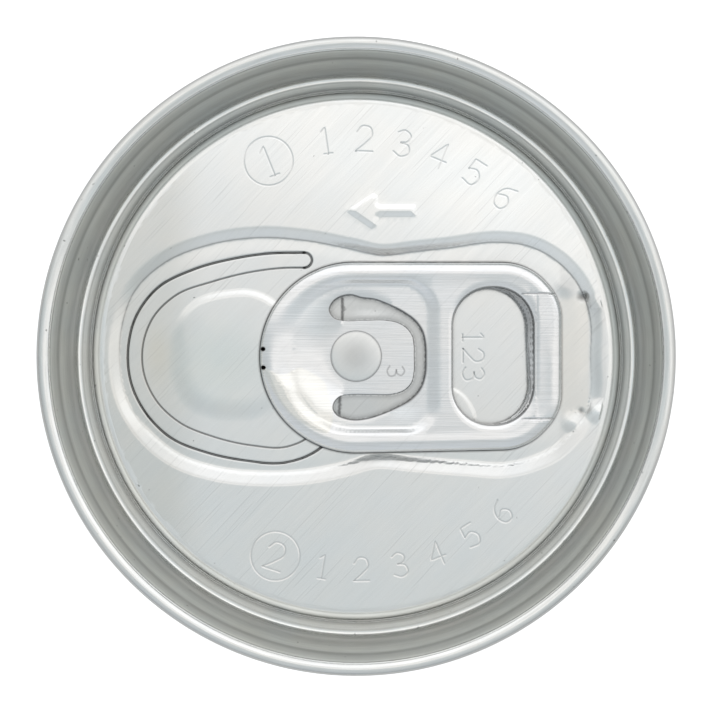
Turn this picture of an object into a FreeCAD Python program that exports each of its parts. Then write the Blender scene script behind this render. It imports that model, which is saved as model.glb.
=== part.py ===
"""A sealed aluminium drinks can: a drawn body, a seamed lid and its stay-on tab.

The can stands on its base ring at Z = 0 with its axis on Z, and every size is in millimetres.
The tab's nose points to -X and its finger hole lies towards +X. Depths are measured down from
the top of the seam. Each piece is one solid: the body is filled up to the lid, the lid is one
sheet with its rivet drawn from it, and the tab is one curled blank staked under the rivet head.
"""
import FreeCAD, Part
import math
import os
import re

import Sketcher

DRIVING_SIZES = {
    # The can as a whole.
    "can_height": 145.8,
    "body_diameter": 57.4,
    # Base: a stand ring round a domed bottom.
    "stand_in": 5.5,
    "stand_flat": 0.6,
    "stand_nose": 1.2,
    "dome_depth": 10.0,
    "dome_radius": 48.0,
    "chime_height": 8.4,
    # Neck and shoulder.
    "neck_in": 1.7,
    "neck_under_seam": 0.8,
    "neck_straight": 1.6,
    "shoulder_height": 11.2,
    # Seam, chuck wall and countersink of the lid.
    "seam_wall": 1.14,
    "seam_height": 2.5,
    "seam_lip": 0.4,
    "seam_draft": 0.35,
    "end_gauge": 0.25,
    "chuck_draft": 0.86,
    "panel_depth": 4.6,
    "countersink_drop": 2.26,
    "countersink_width": 1.32,
    "panel_shoulder": 1.3,
    "lid_gap": 0.02,
    # Pattern pressed into the panel, drawn for a panel whose flat has this radius.
    "standard_flat": 22.0,
    "recess_depth": 0.45,
    "recess_ramp": 1.0,
    "recess_front": 20.6,
    "recess_back": 20.4,
    "front_lobe_x": 12.8,
    "front_lobe_y": 9.75,
    "front_lobe_bend": 9.95,
    "belly_x": 1.4,
    "belly_y": 9.57,
    "belly_bend": 24.6,
    "waist_x": 5.5,
    "waist_y": 9.2,
    "waist_bend": 20.6,
    "back_lobe_x": 12.4,
    "back_lobe_y": 9.9,
    "back_lobe_bend": 7.6,
    "back_corner_x": 18.9,
    "back_corner_y": 6.8,
    "back_side_y": 3.9,
    "back_corner_bend": 5.0,
    # Tear panel: the scored outline and the flat-topped bead inside it.
    "score_depth": 0.12,
    "score_width": 0.2,
    "score_front": 19.9,
    "score_half_width": 9.0,
    "score_back": 4.6,
    "bead_height": 0.2,
    "bead_front": 16.3,
    "bead_half_width": 5.8,
    "bead_centre": 10.1,
    # Tab.
    "tab_clearance": 0.05,
    "tab_thickness": 1.25,
    "tab_gauge": 0.3,
    "tab_half_width": 8.2,
    "tab_back": 17.7,
    "tab_corner": 4.3,
    "tab_corner_bend": 4.9,
    "tab_edge_round": 0.5,
    "curl_width": 1.25,
    "web_drop": 0.2,
    "pan_drop": 0.6,
    "pan_back": 7.3,
    "pan_corner": 3.2,
    "hole_centre": 11.78,
    "hole_width": 6.95,
    "hole_length": 11.9,
    "hole_bead": 0.75,
    # Rivet and the island that it holds down.
    "rivet_head_radius": 2.18,
    "rivet_shank_radius": 1.6,
    "rivet_head_height": 0.3,
    "rivet_dome": 0.1,
    "rivet_room": 0.05,
    "island_seat": 0.02,
    "hinge_room": 0.42,
    "island_back": 5.1,
    "island_half_width": 3.2,
    "island_bend": 2.4,
    "void_front": 2.0,
    "void_back": 6.05,
    "void_half_width": 5.2,
    "void_bend": 4.2,
}

doc = FreeCAD.newDocument("SealedCan")
sheet = doc.addObject("Spreadsheet::Sheet", "Sizes")
for row, (alias, size) in enumerate(DRIVING_SIZES.items(), start=1):
    sheet.set(f"A{row}", alias)
    sheet.set(f"B{row}", str(size))
    sheet.setAlias(f"B{row}", alias)
doc.recompute()


def named(expression):
    """Put the sheet's name before each alias in an expression."""
    def with_sheet(match):
        word = match.group()
        return "Sizes." + word if word in DRIVING_SIZES else word

    return re.sub(r"(?<![\w.])[a-z_]+", with_sheet, expression)


def value(expression):
    """The number that an expression gives now."""
    result = sheet.evalExpression(expression)
    return float(getattr(result, "Value", result))


# Heights and radii that several pieces share, worked out from the driving sizes.
BODY_RADIUS = named("body_diameter / 2")
SEAM_RADIUS = named("( body_diameter / 2 - neck_in )")
NECK_RADIUS = named("( body_diameter / 2 - neck_in - neck_under_seam )")
SEAM_INNER = named("( body_diameter / 2 - neck_in - seam_wall )")
CHUCK_TOP = f"( {SEAM_INNER} - Sizes.seam_draft )"
CHUCK_FOOT = f"( {CHUCK_TOP} - Sizes.chuck_draft )"
PANEL_RADIUS = f"( {CHUCK_FOOT} - Sizes.countersink_width )"
PANEL_FLAT = f"( {PANEL_RADIUS} - Sizes.panel_shoulder )"
PATTERN = f"( {PANEL_FLAT} / Sizes.standard_flat )"
STAND_RADIUS = named("( body_diameter / 2 - stand_in )")
SEAM_FOOT = named("( can_height - seam_height )")
PANEL_TOP = named("( can_height - panel_depth )")
COUNTERSINK_FLOOR = named("( can_height - panel_depth - countersink_drop )")
RECESS_FLOOR = named("( can_height - panel_depth - recess_depth )")
TAB_BOTTOM = named("( can_height - panel_depth + tab_clearance )")
TAB_TOP = f"( {TAB_BOTTOM} + Sizes.tab_thickness )"
ISLAND_BOTTOM = f"( {RECESS_FLOOR} + Sizes.island_seat )"
HINGE_PLACE = f"( ( Sizes.rivet_head_radius + Sizes.hinge_room ) / {PATTERN} )"


def new_body(name):
    body = doc.addObject("PartDesign::Body", name)
    body.Label = name
    return body


def new_sketch(body, name, role="XY_Plane", height=None):
    """A sketch on one of the body's own origin planes, raised by height."""
    sketch = body.newObject("Sketcher::SketchObject", name)
    planes = [item for item in body.Origin.OriginFeatures if item.Role == role]
    sketch.AttachmentSupport = [(planes[0], "")]
    sketch.MapMode = "FlatFace"
    if height is not None:
        sketch.setExpression("AttachmentOffset.Base.z", height)
    return sketch


def arc_between(start, end, radius):
    """The shorter arc from start to end: to the left of the way for a radius above zero."""
    chord = end - start
    left = FreeCAD.Vector(-chord.y, chord.x, 0).normalize()
    rise = math.sqrt(max(radius * radius - chord.Length ** 2 / 4, 0.0))
    centre = (start + end) / 2 + left * math.copysign(rise, radius)
    from_start = math.atan2(start.y - centre.y, start.x - centre.x)
    from_end = math.atan2(end.y - centre.y, end.x - centre.x)
    circle = Part.Circle(centre, FreeCAD.Vector(0, 0, 1), abs(radius))
    if radius > 0:
        return Part.ArcOfCircle(circle, from_start, from_end)
    return Part.ArcOfCircle(circle, from_end, from_start)


def draw_outline(sketch, corners, scale=None):
    """Draw one closed outline whose corners and arcs are bound to the sheet.

    A corner is (x, y) or (x, y, bend). A bend turns the side that leaves the corner into an arc
    of that radius, with its centre on the left of the way, or on the right if it starts with -.
    """
    bound = []
    for corner in corners:
        terms = [named(term) for term in corner]
        if scale is not None:
            terms = [f"{scale} * ( {term} )" for term in terms]
        bound.append(terms)
    places = [FreeCAD.Vector(value(terms[0]), value(terms[1]), 0) for terms in bound]
    sides = []
    for number, terms in enumerate(bound):
        start = places[number]
        end = places[(number + 1) % len(places)]
        turn = value(terms[2]) if len(terms) == 3 else 0.0
        shape = arc_between(start, end, turn) if turn else Part.LineSegment(start, end)
        first, last = (2, 1) if turn < 0 else (1, 2)
        sides.append((sketch.addGeometry(shape, False), first, last, turn))
    for number, (side, first, last, turn) in enumerate(sides):
        following, following_first = sides[(number + 1) % len(sides)][:2]
        sketch.addConstraint(Sketcher.Constraint("Coincident", side, last, following, following_first))
        for axis, kind in ((0, "DistanceX"), (1, "DistanceY")):
            size = places[number][axis]
            index = sketch.addConstraint(Sketcher.Constraint(kind, -1, 1, side, first, size))
            sketch.setExpression(f"Constraints[{index}]", bound[number][axis])
        if turn:
            index = sketch.addConstraint(Sketcher.Constraint("Radius", side, abs(turn)))
            sign = "-1 * " if turn < 0 else ""
            sketch.setExpression(f"Constraints[{index}]", f"{sign}( {bound[number][2]} )")


def tangent_bend(inward, along):
    """Radius of the arc that leaves a wall smoothly and ends inward and along from there."""
    return f"( ( ( {inward} ) ^ 2 + ( {along} ) ^ 2 ) / ( 2 * ( {inward} ) ) )"


def revolve(body, name, sketch):
    feature = body.newObject("PartDesign::Revolution", name)
    feature.Profile = sketch
    feature.ReferenceAxis = (sketch, ["V_Axis"])
    feature.Angle = 360.0
    return feature


def pad(body, name, sketch, length, reverse=False):
    feature = body.newObject("PartDesign::Pad", name)
    feature.Profile = sketch
    feature.setExpression("Length", length)
    feature.Reversed = reverse
    return feature


def pocket(body, name, sketch, length, upward=False):
    """Cut down from the sketch, or up from it, and stop the build if nothing was cut."""
    doc.recompute()
    before = body.Shape.Volume
    feature = body.newObject("PartDesign::Pocket", name)
    feature.Profile = sketch
    feature.setExpression("Length", length)
    feature.Reversed = upward
    doc.recompute()
    if body.Shape.Volume >= before:
        raise RuntimeError(f"{name} cut nothing")
    return feature


def loft(body, name, kind, lower, upper):
    feature = body.newObject(f"PartDesign::{kind}Loft", name)
    feature.Profile = lower
    feature.Sections = [upper]
    feature.Ruled = True
    return feature


def lid_underside(gap="0"):
    """Corners along the underside of the lid's sheet, from the seam's foot to the axis."""
    sheet_and_gap = f"( Sizes.end_gauge + {gap} )"
    centre = f"( {PANEL_RADIUS} + Sizes.countersink_width / 2 )"
    centre_height = f"( {COUNTERSINK_FLOOR} + Sizes.countersink_width / 2 )"
    bowl = f"( Sizes.countersink_width / 2 + {sheet_and_gap} )"
    shoulder = f"( Sizes.panel_shoulder - {sheet_and_gap} )"
    return [
        (f"{CHUCK_TOP} + {sheet_and_gap}", f"{SEAM_FOOT} - {gap}"),
        (f"{centre} + {bowl}", centre_height, f"-1 * {bowl}"),
        (centre, f"{COUNTERSINK_FLOOR} - {sheet_and_gap}", f"-1 * {bowl}"),
        (f"{centre} - {bowl}", centre_height),
        (f"{PANEL_RADIUS} - {sheet_and_gap}", f"{PANEL_TOP} - Sizes.panel_shoulder", shoulder),
        (PANEL_FLAT, f"{PANEL_TOP} - {sheet_and_gap}"),
        ("0", f"{PANEL_TOP} - {sheet_and_gap}"),
    ]


def recess_outline(sketch, grow):
    """The two-lobed recess round the tab, grown outwards by a length."""
    half = [
        ("-1 * ( recess_front + {g} )", "0", "-1 * ( front_lobe_bend + {g} )"),
        ("-1 * ( front_lobe_x + 0.2 * {g} )", "front_lobe_y + {g}", "-1 * ( belly_bend + {g} )"),
        ("-1 * ( belly_x - 0.2 * {g} )", "belly_y + {g}", "waist_bend - {g}"),
        ("waist_x - 0.1 * {g}", "waist_y + {g}"),
        ("back_lobe_x - 0.1 * {g}", "back_lobe_y + {g}", "-1 * ( back_lobe_bend + {g} )"),
        ("back_corner_x + 0.7 * {g}", "back_corner_y + 0.7 * {g}", "-1 * ( back_corner_bend + {g} )"),
        ("recess_back + {g}", "back_side_y + 0.3 * {g}"),
    ]
    half = [tuple(term.format(g=grow) for term in corner) for corner in half]
    mirrored = []
    for number in range(len(half) - 1, 0, -1):
        bend_after = half[number - 1][2:]
        mirrored.append((half[number][0], f"-1 * ( {half[number][1]} )") + bend_after)
    draw_outline(sketch, half + mirrored, scale=PATTERN)


def tear_outline(sketch, inset):
    """The scored outline of the tear panel: a round front that runs under the tab's nose."""
    front = f"( score_front - {inset} )"
    half = f"( score_half_width - {inset} )"
    back = f"( score_back + {inset} )"
    middle = "( score_front - score_half_width )"
    draw_outline(sketch, [
        (f"-1 * {front}", "0", f"-1 * {half}"),
        (f"-1 * {middle}", half),
        (f"-1 * {back}", half),
        (f"-1 * {back}", f"-1 * {half}"),
        (f"-1 * {middle}", f"-1 * {half}", f"-1 * {half}"),
    ], scale=PATTERN)


def tab_outline(sketch, inset):
    """The tab's plan: a round nose centred on the rivet and a heel with rounded corners."""
    half = f"( tab_half_width - {inset} )"
    back = f"( tab_back - {inset} )"
    bend = f"( tab_corner_bend - {inset} )"
    draw_outline(sketch, [
        (f"-1 * {half}", "0", f"-1 * {half}"),
        ("0", half),
        ("tab_back - tab_corner", half, f"-1 * {bend}"),
        (back, f"{half} - tab_corner + {inset}"),
        (back, f"-1 * ( {half} - tab_corner + {inset} )", f"-1 * {bend}"),
        ("tab_back - tab_corner", f"-1 * {half}"),
        ("0", f"-1 * {half}", f"-1 * {half}"),
    ], scale=PATTERN)


def pan_outline(sketch, inset):
    """The lower pan inside the nose's curl, with a squarer end towards the finger hole."""
    half = f"( tab_half_width - curl_width - {inset} )"
    back = f"( pan_back - {inset} )"
    corner = f"( pan_corner - {inset} )"
    draw_outline(sketch, [
        (f"-1 * {half}", "0", f"-1 * {half}"),
        ("0", half),
        (f"{back} - {corner}", half, f"-1 * {corner}"),
        (back, f"{half} - {corner}"),
        (back, f"-1 * ( {half} - {corner} )", f"-1 * {corner}"),
        (f"{back} - {corner}", f"-1 * {half}"),
        ("0", f"-1 * {half}", f"-1 * {half}"),
    ], scale=PATTERN)


def hole_outline(sketch, grow):
    """The finger hole: a slot with round ends, grown outwards by a length."""
    half = f"( hole_width / 2 + {grow} )"
    reach = "( hole_length / 2 - hole_width / 2 )"
    draw_outline(sketch, [
        (f"hole_centre - {half}", reach, f"-1 * {half}"),
        ("hole_centre", f"{reach} + {half}", f"-1 * {half}"),
        (f"hole_centre + {half}", reach),
        (f"hole_centre + {half}", f"-1 * {reach}", f"-1 * {half}"),
        ("hole_centre", f"-1 * ( {reach} + {half} )", f"-1 * {half}"),
        (f"hole_centre - {half}", f"-1 * {reach}"),
    ], scale=PATTERN)


def island_outline(sketch, front):
    """The rivet island, square at its hinge and rounded towards the finger hole."""
    draw_outline(sketch, [
        (f"-1 * {front}", "island_half_width"),
        ("island_back - island_bend", "island_half_width", "-1 * island_bend"),
        ("island_back", "island_half_width - island_bend"),
        ("island_back", "-1 * ( island_half_width - island_bend )", "-1 * island_bend"),
        ("island_back - island_bend", "-1 * island_half_width"),
        (f"-1 * {front}", "-1 * island_half_width"),
    ], scale=PATTERN)


def void_outline(sketch):
    """The opening round three sides of the island, as one C-shaped outline."""
    inner = "island_half_width"
    draw_outline(sketch, [
        ("-1 * void_front", "void_half_width"),
        ("void_back - void_bend", "void_half_width", "-1 * void_bend"),
        ("void_back", "void_half_width - void_bend"),
        ("void_back", "-1 * ( void_half_width - void_bend )", "-1 * void_bend"),
        ("void_back - void_bend", "-1 * void_half_width"),
        ("-1 * void_front", "-1 * void_half_width"),
        ("-1 * void_front", f"-1 * {inner}"),
        ("island_back - island_bend", f"-1 * {inner}", "island_bend"),
        ("island_back", f"-1 * ( {inner} - island_bend )"),
        ("island_back", f"{inner} - island_bend", "island_bend"),
        ("island_back - island_bend", inner),
        ("-1 * void_front", inner),
    ], scale=PATTERN)


def make_can_body():
    """Base, wall, shoulder and neck in one solid, hollowed on top to take the lid."""
    body = new_body("can_body")
    dome_edge = f"( {STAND_RADIUS} - Sizes.stand_flat / 2 - Sizes.stand_nose )"
    dome_edge_height = f"dome_depth - dome_radius + sqrt(dome_radius ^ 2 - {dome_edge} ^ 2)"
    chime_foot = f"( {STAND_RADIUS} + Sizes.stand_flat / 2 + Sizes.stand_nose )"
    neck_foot = f"( {SEAM_FOOT} - Sizes.neck_straight )"
    shoulder_foot = named("( can_height - shoulder_height )")
    middle_radius = f"( ( {BODY_RADIUS} + {NECK_RADIUS} ) / 2 )"
    middle_height = f"( ( {shoulder_foot} + {neck_foot} ) / 2 )"
    chime_bend = tangent_bend(f"{BODY_RADIUS} - {chime_foot}", "chime_height - stand_nose")
    neck_bend = tangent_bend(f"{BODY_RADIUS} - {middle_radius}", f"{middle_height} - {shoulder_foot}")
    profile = new_sketch(body, "can_body_profile", "XZ_Plane")
    draw_outline(profile, [
        ("0", "dome_depth", "-1 * dome_radius"),
        (dome_edge, dome_edge_height),
        (dome_edge, "stand_nose", "stand_nose"),
        (f"{STAND_RADIUS} - Sizes.stand_flat / 2", "0"),
        (f"{STAND_RADIUS} + Sizes.stand_flat / 2", "0", "stand_nose"),
        (chime_foot, "stand_nose", chime_bend),
        (BODY_RADIUS, "chime_height"),
        (BODY_RADIUS, shoulder_foot, neck_bend),
        (middle_radius, middle_height, f"-1 * {neck_bend}"),
        (NECK_RADIUS, neck_foot),
        (NECK_RADIUS, f"{SEAM_FOOT} - Sizes.lid_gap"),
    ] + lid_underside(gap="Sizes.lid_gap"))
    revolve(body, "can_body_revolution", profile)
    lower = new_sketch(body, "seat_floor", height=f"{RECESS_FLOOR} - Sizes.end_gauge - Sizes.lid_gap")
    recess_outline(lower, "end_gauge")
    upper = new_sketch(body, "seat_rim", height=f"{PANEL_TOP} - Sizes.end_gauge")
    recess_outline(upper, "( end_gauge + recess_ramp )")
    loft(body, "recess_seat", "Subtractive", lower, upper)
    return body


def make_can_end():
    """The lid: seam, chuck wall, countersink, recessed panel, tear panel and rivet."""
    body = new_body("can_end")
    centre = f"( {PANEL_RADIUS} + Sizes.countersink_width / 2 )"
    bowl = named("countersink_width / 2")
    profile = new_sketch(body, "lid_profile", "XZ_Plane")
    draw_outline(profile, [
        ("0", PANEL_TOP),
        (PANEL_FLAT, PANEL_TOP, "-1 * panel_shoulder"),
        (PANEL_RADIUS, f"{PANEL_TOP} - Sizes.panel_shoulder"),
        (PANEL_RADIUS, f"{COUNTERSINK_FLOOR} + {bowl}", bowl),
        (centre, COUNTERSINK_FLOOR, bowl),
        (CHUCK_FOOT, f"{COUNTERSINK_FLOOR} + {bowl}"),
        (CHUCK_TOP, SEAM_FOOT),
        (SEAM_INNER, "can_height - seam_wall / 2", "-1 * seam_wall / 2"),
        (f"{SEAM_INNER} + Sizes.seam_wall / 2", "can_height", "-1 * seam_wall / 2"),
        (SEAM_RADIUS, "can_height - seam_wall / 2"),
        (SEAM_RADIUS, f"{SEAM_FOOT} + Sizes.seam_lip", "-1 * seam_lip"),
        (f"{SEAM_RADIUS} - Sizes.seam_lip", SEAM_FOOT),
    ] + lid_underside())
    revolve(body, "lid_revolution", profile)
    under = new_sketch(body, "recess_under", height=f"{RECESS_FLOOR} - Sizes.end_gauge")
    recess_outline(under, "( end_gauge - lid_gap )")
    under_rim = new_sketch(body, "recess_under_rim", height=f"{PANEL_TOP} - Sizes.end_gauge")
    recess_outline(under_rim, "( end_gauge + recess_ramp - lid_gap )")
    loft(body, "recess_underside", "Additive", under, under_rim)
    recess_floor = new_sketch(body, "recess_floor", height=RECESS_FLOOR)
    recess_outline(recess_floor, "0")
    recess_rim = new_sketch(body, "recess_rim", height=PANEL_TOP)
    recess_outline(recess_rim, "recess_ramp")
    loft(body, "recess", "Subtractive", recess_floor, recess_rim)
    score = new_sketch(body, "score_lines", height=RECESS_FLOOR)
    tear_outline(score, "0")
    tear_outline(score, "score_width")
    pocket(body, "score", score, "Sizes.score_depth")
    bead = new_sketch(body, "tear_bead_outline", height=RECESS_FLOOR)
    reach = "( bead_front - bead_centre )"
    draw_outline(bead, [
        (f"-1 * ( bead_centre + {reach} )", "0", f"-1 * {reach}"),
        ("-1 * bead_centre", "bead_half_width", f"-1 * {reach}"),
        (f"-1 * ( bead_centre - {reach} )", "0", f"-1 * {reach}"),
        ("-1 * bead_centre", "-1 * bead_half_width", f"-1 * {reach}"),
    ], scale=PATTERN)
    pad(body, "tear_bead", bead, "Sizes.bead_height")
    rivet = new_sketch(body, "rivet_profile", "XZ_Plane")
    head_foot = f"( {ISLAND_BOTTOM} + Sizes.tab_gauge + Sizes.island_seat )"
    head_top = f"( {head_foot} + Sizes.rivet_head_height )"
    draw_outline(rivet, [
        ("0", f"{RECESS_FLOOR} - Sizes.end_gauge / 2"),
        ("rivet_shank_radius", f"{RECESS_FLOOR} - Sizes.end_gauge / 2"),
        ("rivet_shank_radius", head_foot),
        ("rivet_head_radius", head_foot),
        ("rivet_head_radius", head_top),
        ("0", f"{head_top} + Sizes.rivet_dome"),
    ])
    revolve(body, "rivet", rivet)
    return body


def make_tab():
    """The tab: a curled rim round a thinner web, with its pan, finger hole and rivet island."""
    body = new_body("tab")
    plan = new_sketch(body, "tab_plan", height=TAB_BOTTOM)
    tab_outline(plan, "0")
    pad(body, "blank", plan, "Sizes.tab_thickness")
    doc.recompute()
    edge = body.newObject("PartDesign::Fillet", "curled_edge")
    edge.Base = (body.getObject("blank"), flat_edges(body.Shape, value(TAB_BOTTOM), value(TAB_TOP)))
    edge.setExpression("Radius", "Sizes.tab_edge_round")
    hollow = new_sketch(body, "hollow_plan", height=TAB_BOTTOM)
    tab_outline(hollow, "curl_width")
    hole_outline(hollow, "hole_bead")
    web_foot = named("( tab_thickness - web_drop - tab_gauge )")
    pocket(body, "underside_hollow", hollow, web_foot, upward=True)
    web_top = new_sketch(body, "web_plan", height=TAB_TOP)
    tab_outline(web_top, "curl_width")
    hole_outline(web_top, "hole_bead")
    pocket(body, "web_top", web_top, "Sizes.web_drop")
    pan_floor = new_sketch(body, "pan_floor_plan", height=f"{TAB_TOP} - Sizes.pan_drop - Sizes.tab_gauge")
    pan_outline(pan_floor, "0")
    pad(body, "pan_block", pan_floor, named("pan_drop + tab_gauge - web_drop"))
    pan = new_sketch(body, "pan_plan", height=TAB_TOP)
    pan_outline(pan, "tab_gauge")
    pocket(body, "pan", pan, "Sizes.pan_drop")
    hole = new_sketch(body, "finger_hole_plan", height=TAB_TOP)
    hole_outline(hole, "0")
    pocket(body, "finger_hole", hole, "Sizes.tab_thickness")
    void = new_sketch(body, "void_plan", height=TAB_TOP)
    void_outline(void)
    pocket(body, "island_void", void, "Sizes.tab_thickness")
    hinge = new_sketch(body, "hinge_plan", height=ISLAND_BOTTOM)
    draw_outline(hinge, [
        (f"-1 * ( {HINGE_PLACE} + 2 * Sizes.tab_gauge )", "island_half_width"),
        (f"-1 * {HINGE_PLACE}", "island_half_width"),
        (f"-1 * {HINGE_PLACE}", "-1 * island_half_width"),
        (f"-1 * ( {HINGE_PLACE} + 2 * Sizes.tab_gauge )", "-1 * island_half_width"),
    ], scale=PATTERN)
    pad(body, "hinge", hinge, f"{TAB_TOP} - Sizes.pan_drop - {ISLAND_BOTTOM}")
    lift = new_sketch(body, "island_clearing_plan", height=TAB_TOP)
    island_outline(lift, HINGE_PLACE)
    pocket(body, "island_clearing", lift, "Sizes.tab_thickness")
    island = new_sketch(body, "island_plan", height=ISLAND_BOTTOM)
    island_outline(island, HINGE_PLACE)
    pad(body, "island", island, "Sizes.tab_gauge")
    rivet_hole = new_sketch(body, "rivet_hole_plan", height=f"{ISLAND_BOTTOM} + Sizes.tab_gauge")
    circle = Part.Circle(FreeCAD.Vector(0, 0, 0), FreeCAD.Vector(0, 0, 1), value("Sizes.rivet_shank_radius"))
    ring = rivet_hole.addGeometry(circle, False)
    rivet_hole.addConstraint(Sketcher.Constraint("Coincident", ring, 3, -1, 1))
    size = rivet_hole.addConstraint(Sketcher.Constraint("Radius", ring, circle.Radius))
    rivet_hole.setExpression(f"Constraints[{size}]", named("rivet_shank_radius + rivet_room"))
    pocket(body, "rivet_hole", rivet_hole, "Sizes.tab_gauge")
    return body


def flat_edges(shape, *heights):
    """Names of the edges that lie flat at one of the heights."""
    names = []
    for number, edge in enumerate(shape.Edges, start=1):
        box = edge.BoundBox
        if box.ZLength < 1e-6 and any(abs(box.ZMin - height) < 1e-6 for height in heights):
            names.append(f"Edge{number}")
    return names


pieces = [make_can_body(), make_can_end(), make_tab()]
doc.recompute()

for item in doc.Objects:
    faults = [state for state in item.State if state in ("Invalid", "Error")]
    if faults:
        raise RuntimeError(f"{item.Label} did not build: {faults}")

os.makedirs("parts", exist_ok=True)
for piece in pieces:
    shape = piece.Shape
    if shape.isNull() or not shape.isValid() or len(shape.Solids) != 1:
        raise RuntimeError(f"{piece.Label} is not one valid solid")
    shape.exportStep(f"parts/{piece.Label}.step")
    print(piece.Label, "solids", len(shape.Solids), "volume", round(shape.Volume, 3))
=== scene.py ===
"""Looks of a sealed aluminium drinks can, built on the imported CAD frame.

Lid, tab and body are modelled as fine meshes in millimetres, measured from the top of the seam,
and then placed on the frame. Pressed detail is one height function for each surface, meshed
along the edges of its features.
"""
import math

import bpy
import bmesh
import numpy as np
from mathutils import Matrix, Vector
from mathutils.geometry import delaunay_2d_cdt


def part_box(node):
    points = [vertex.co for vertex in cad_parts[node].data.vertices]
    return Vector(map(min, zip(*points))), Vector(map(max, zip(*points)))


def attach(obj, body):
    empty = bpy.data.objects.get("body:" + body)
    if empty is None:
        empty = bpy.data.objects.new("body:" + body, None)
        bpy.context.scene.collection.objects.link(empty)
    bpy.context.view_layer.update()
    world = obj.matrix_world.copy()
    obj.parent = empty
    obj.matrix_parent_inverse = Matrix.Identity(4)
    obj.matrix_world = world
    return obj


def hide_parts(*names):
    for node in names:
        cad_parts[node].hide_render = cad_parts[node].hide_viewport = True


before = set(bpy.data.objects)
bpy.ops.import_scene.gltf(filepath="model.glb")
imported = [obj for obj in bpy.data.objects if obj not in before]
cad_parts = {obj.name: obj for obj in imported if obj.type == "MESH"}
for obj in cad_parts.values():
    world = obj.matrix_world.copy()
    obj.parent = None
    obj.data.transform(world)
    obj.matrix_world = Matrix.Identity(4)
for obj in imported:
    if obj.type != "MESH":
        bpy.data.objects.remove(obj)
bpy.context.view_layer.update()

MM = 0.001
END_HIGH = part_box("can_end")[1]
TAB_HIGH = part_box("tab")[1]
BODY_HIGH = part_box("can_body")[1]
SEAM_TOP = END_HIGH.z / MM
SEAM_RADIUS = END_HIGH.x / MM
BODY_RADIUS = BODY_HIGH.x / MM
TAB_TOP = (TAB_HIGH.z - END_HIGH.z) / MM

PANEL = -4.6  # the lid's main level, in millimetres below the seam's top
RECESS = -5.05  # the level of the pressed field round the tab
GAUGE = 0.25  # thickness of the lid's sheet
PANEL_RIM = 21.9  # radius at which the panel turns down into the countersink
SHOULDER_ROUND = 1.3  # radius of that turn
SEGMENTS = 288  # sides of the lathed rings


# ---------------------------------------------------------------- outlines in the plane

def rounded(corners, step=0.12):
    """A closed outline through (x, y, radius) corners, each rounded by an arc of that radius."""
    points = []
    count = len(corners)
    for number, (x, y, radius) in enumerate(corners):
        here = Vector((x, y))
        before = (Vector(corners[number - 1][:2]) - here).normalized()
        after = (Vector(corners[(number + 1) % count][:2]) - here).normalized()
        if radius <= 0:
            points.append(here)
            continue
        opening = before.angle(after)
        reach = radius / math.tan(opening / 2)
        centre = here + (before + after).normalized() * (radius / math.sin(opening / 2))
        start = here + before * reach - centre
        turn = math.pi - opening
        if before.x * after.y - before.y * after.x > 0:
            turn = -turn
        pieces = max(2, int(abs(turn) * radius / step) + 1)
        for piece in range(pieces + 1):
            angle = turn * piece / pieces
            points.append(centre + Vector((
                start.x * math.cos(angle) - start.y * math.sin(angle),
                start.x * math.sin(angle) + start.y * math.cos(angle))))
    return resample(np.array(points), step * 2.5, closed=True)


def resample(path, longest, closed):
    """The same path with its long sides divided."""
    ends = np.roll(path, -1, axis=0) if closed else path[1:]
    starts = path if closed else path[:-1]
    points = []
    for start, end in zip(starts, ends):
        length = np.linalg.norm(end - start)
        if length < 1e-6:
            continue
        pieces = max(1, int(math.ceil(length / longest)))
        points += [start + (end - start) * piece / pieces for piece in range(pieces)]
    if not closed:
        points.append(path[-1])
    return np.array(points)


def through(points, step=0.2, closed=True):
    """A smooth curve through a few points, sampled about every step."""
    points = np.array(points, float)
    count = len(points)
    if closed:
        before, after = np.roll(points, 1, axis=0), np.roll(points, -1, axis=0)
    else:
        before = np.vstack([2 * points[0] - points[1], points[:-1]])
        after = np.vstack([points[1:], 2 * points[-1] - points[-2]])
    shorter = np.linalg.norm(points - before, axis=1)[:, None]
    longer = np.linalg.norm(after - points, axis=1)[:, None]
    tangents = (points - before) / shorter * longer + (after - points) / longer * shorter
    tangents /= shorter + longer
    samples = []
    for number in range(count if closed else count - 1):
        start, end = points[number], points[(number + 1) % count]
        length = np.linalg.norm(end - start)
        leave, arrive = tangents[number] * length, tangents[(number + 1) % count] * length
        pieces = max(1, int(math.ceil(length / step)))
        for piece in range(pieces):
            t = piece / pieces
            samples.append((2 * t ** 3 - 3 * t * t + 1) * start + (t ** 3 - 2 * t * t + t) * leave
                           + (3 * t * t - 2 * t ** 3) * end + (t ** 3 - t * t) * arrive)
    if not closed:
        samples.append(points[-1])
    return np.array(samples)


def circle(centre, radius, pieces=48, start=0.0, turn=2 * math.pi):
    """Points on a circle, or on an arc of it if turn is less than a full turn."""
    closed = abs(turn) > 6.28
    angles = start + turn * np.arange(pieces + (0 if closed else 1)) / pieces
    return np.stack([centre[0] + radius * np.cos(angles), centre[1] + radius * np.sin(angles)], axis=1)


def distance(points, path, closed):
    """Distance from each point to the nearest place on a path."""
    ends = np.roll(path, -1, axis=0) if closed else path[1:]
    starts = path if closed else path[:-1]
    along = ends - starts
    squares = np.maximum((along ** 2).sum(1), 1e-12)
    nearest = np.empty(len(points))
    for first in range(0, len(points), 3000):
        block = points[first:first + 3000, None, :]
        share = np.clip(((block - starts) * along).sum(-1) / squares, 0, 1)
        gap = block - (starts + share[..., None] * along)
        nearest[first:first + 3000] = np.sqrt((gap ** 2).sum(-1).min(1))
    return nearest


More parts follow.
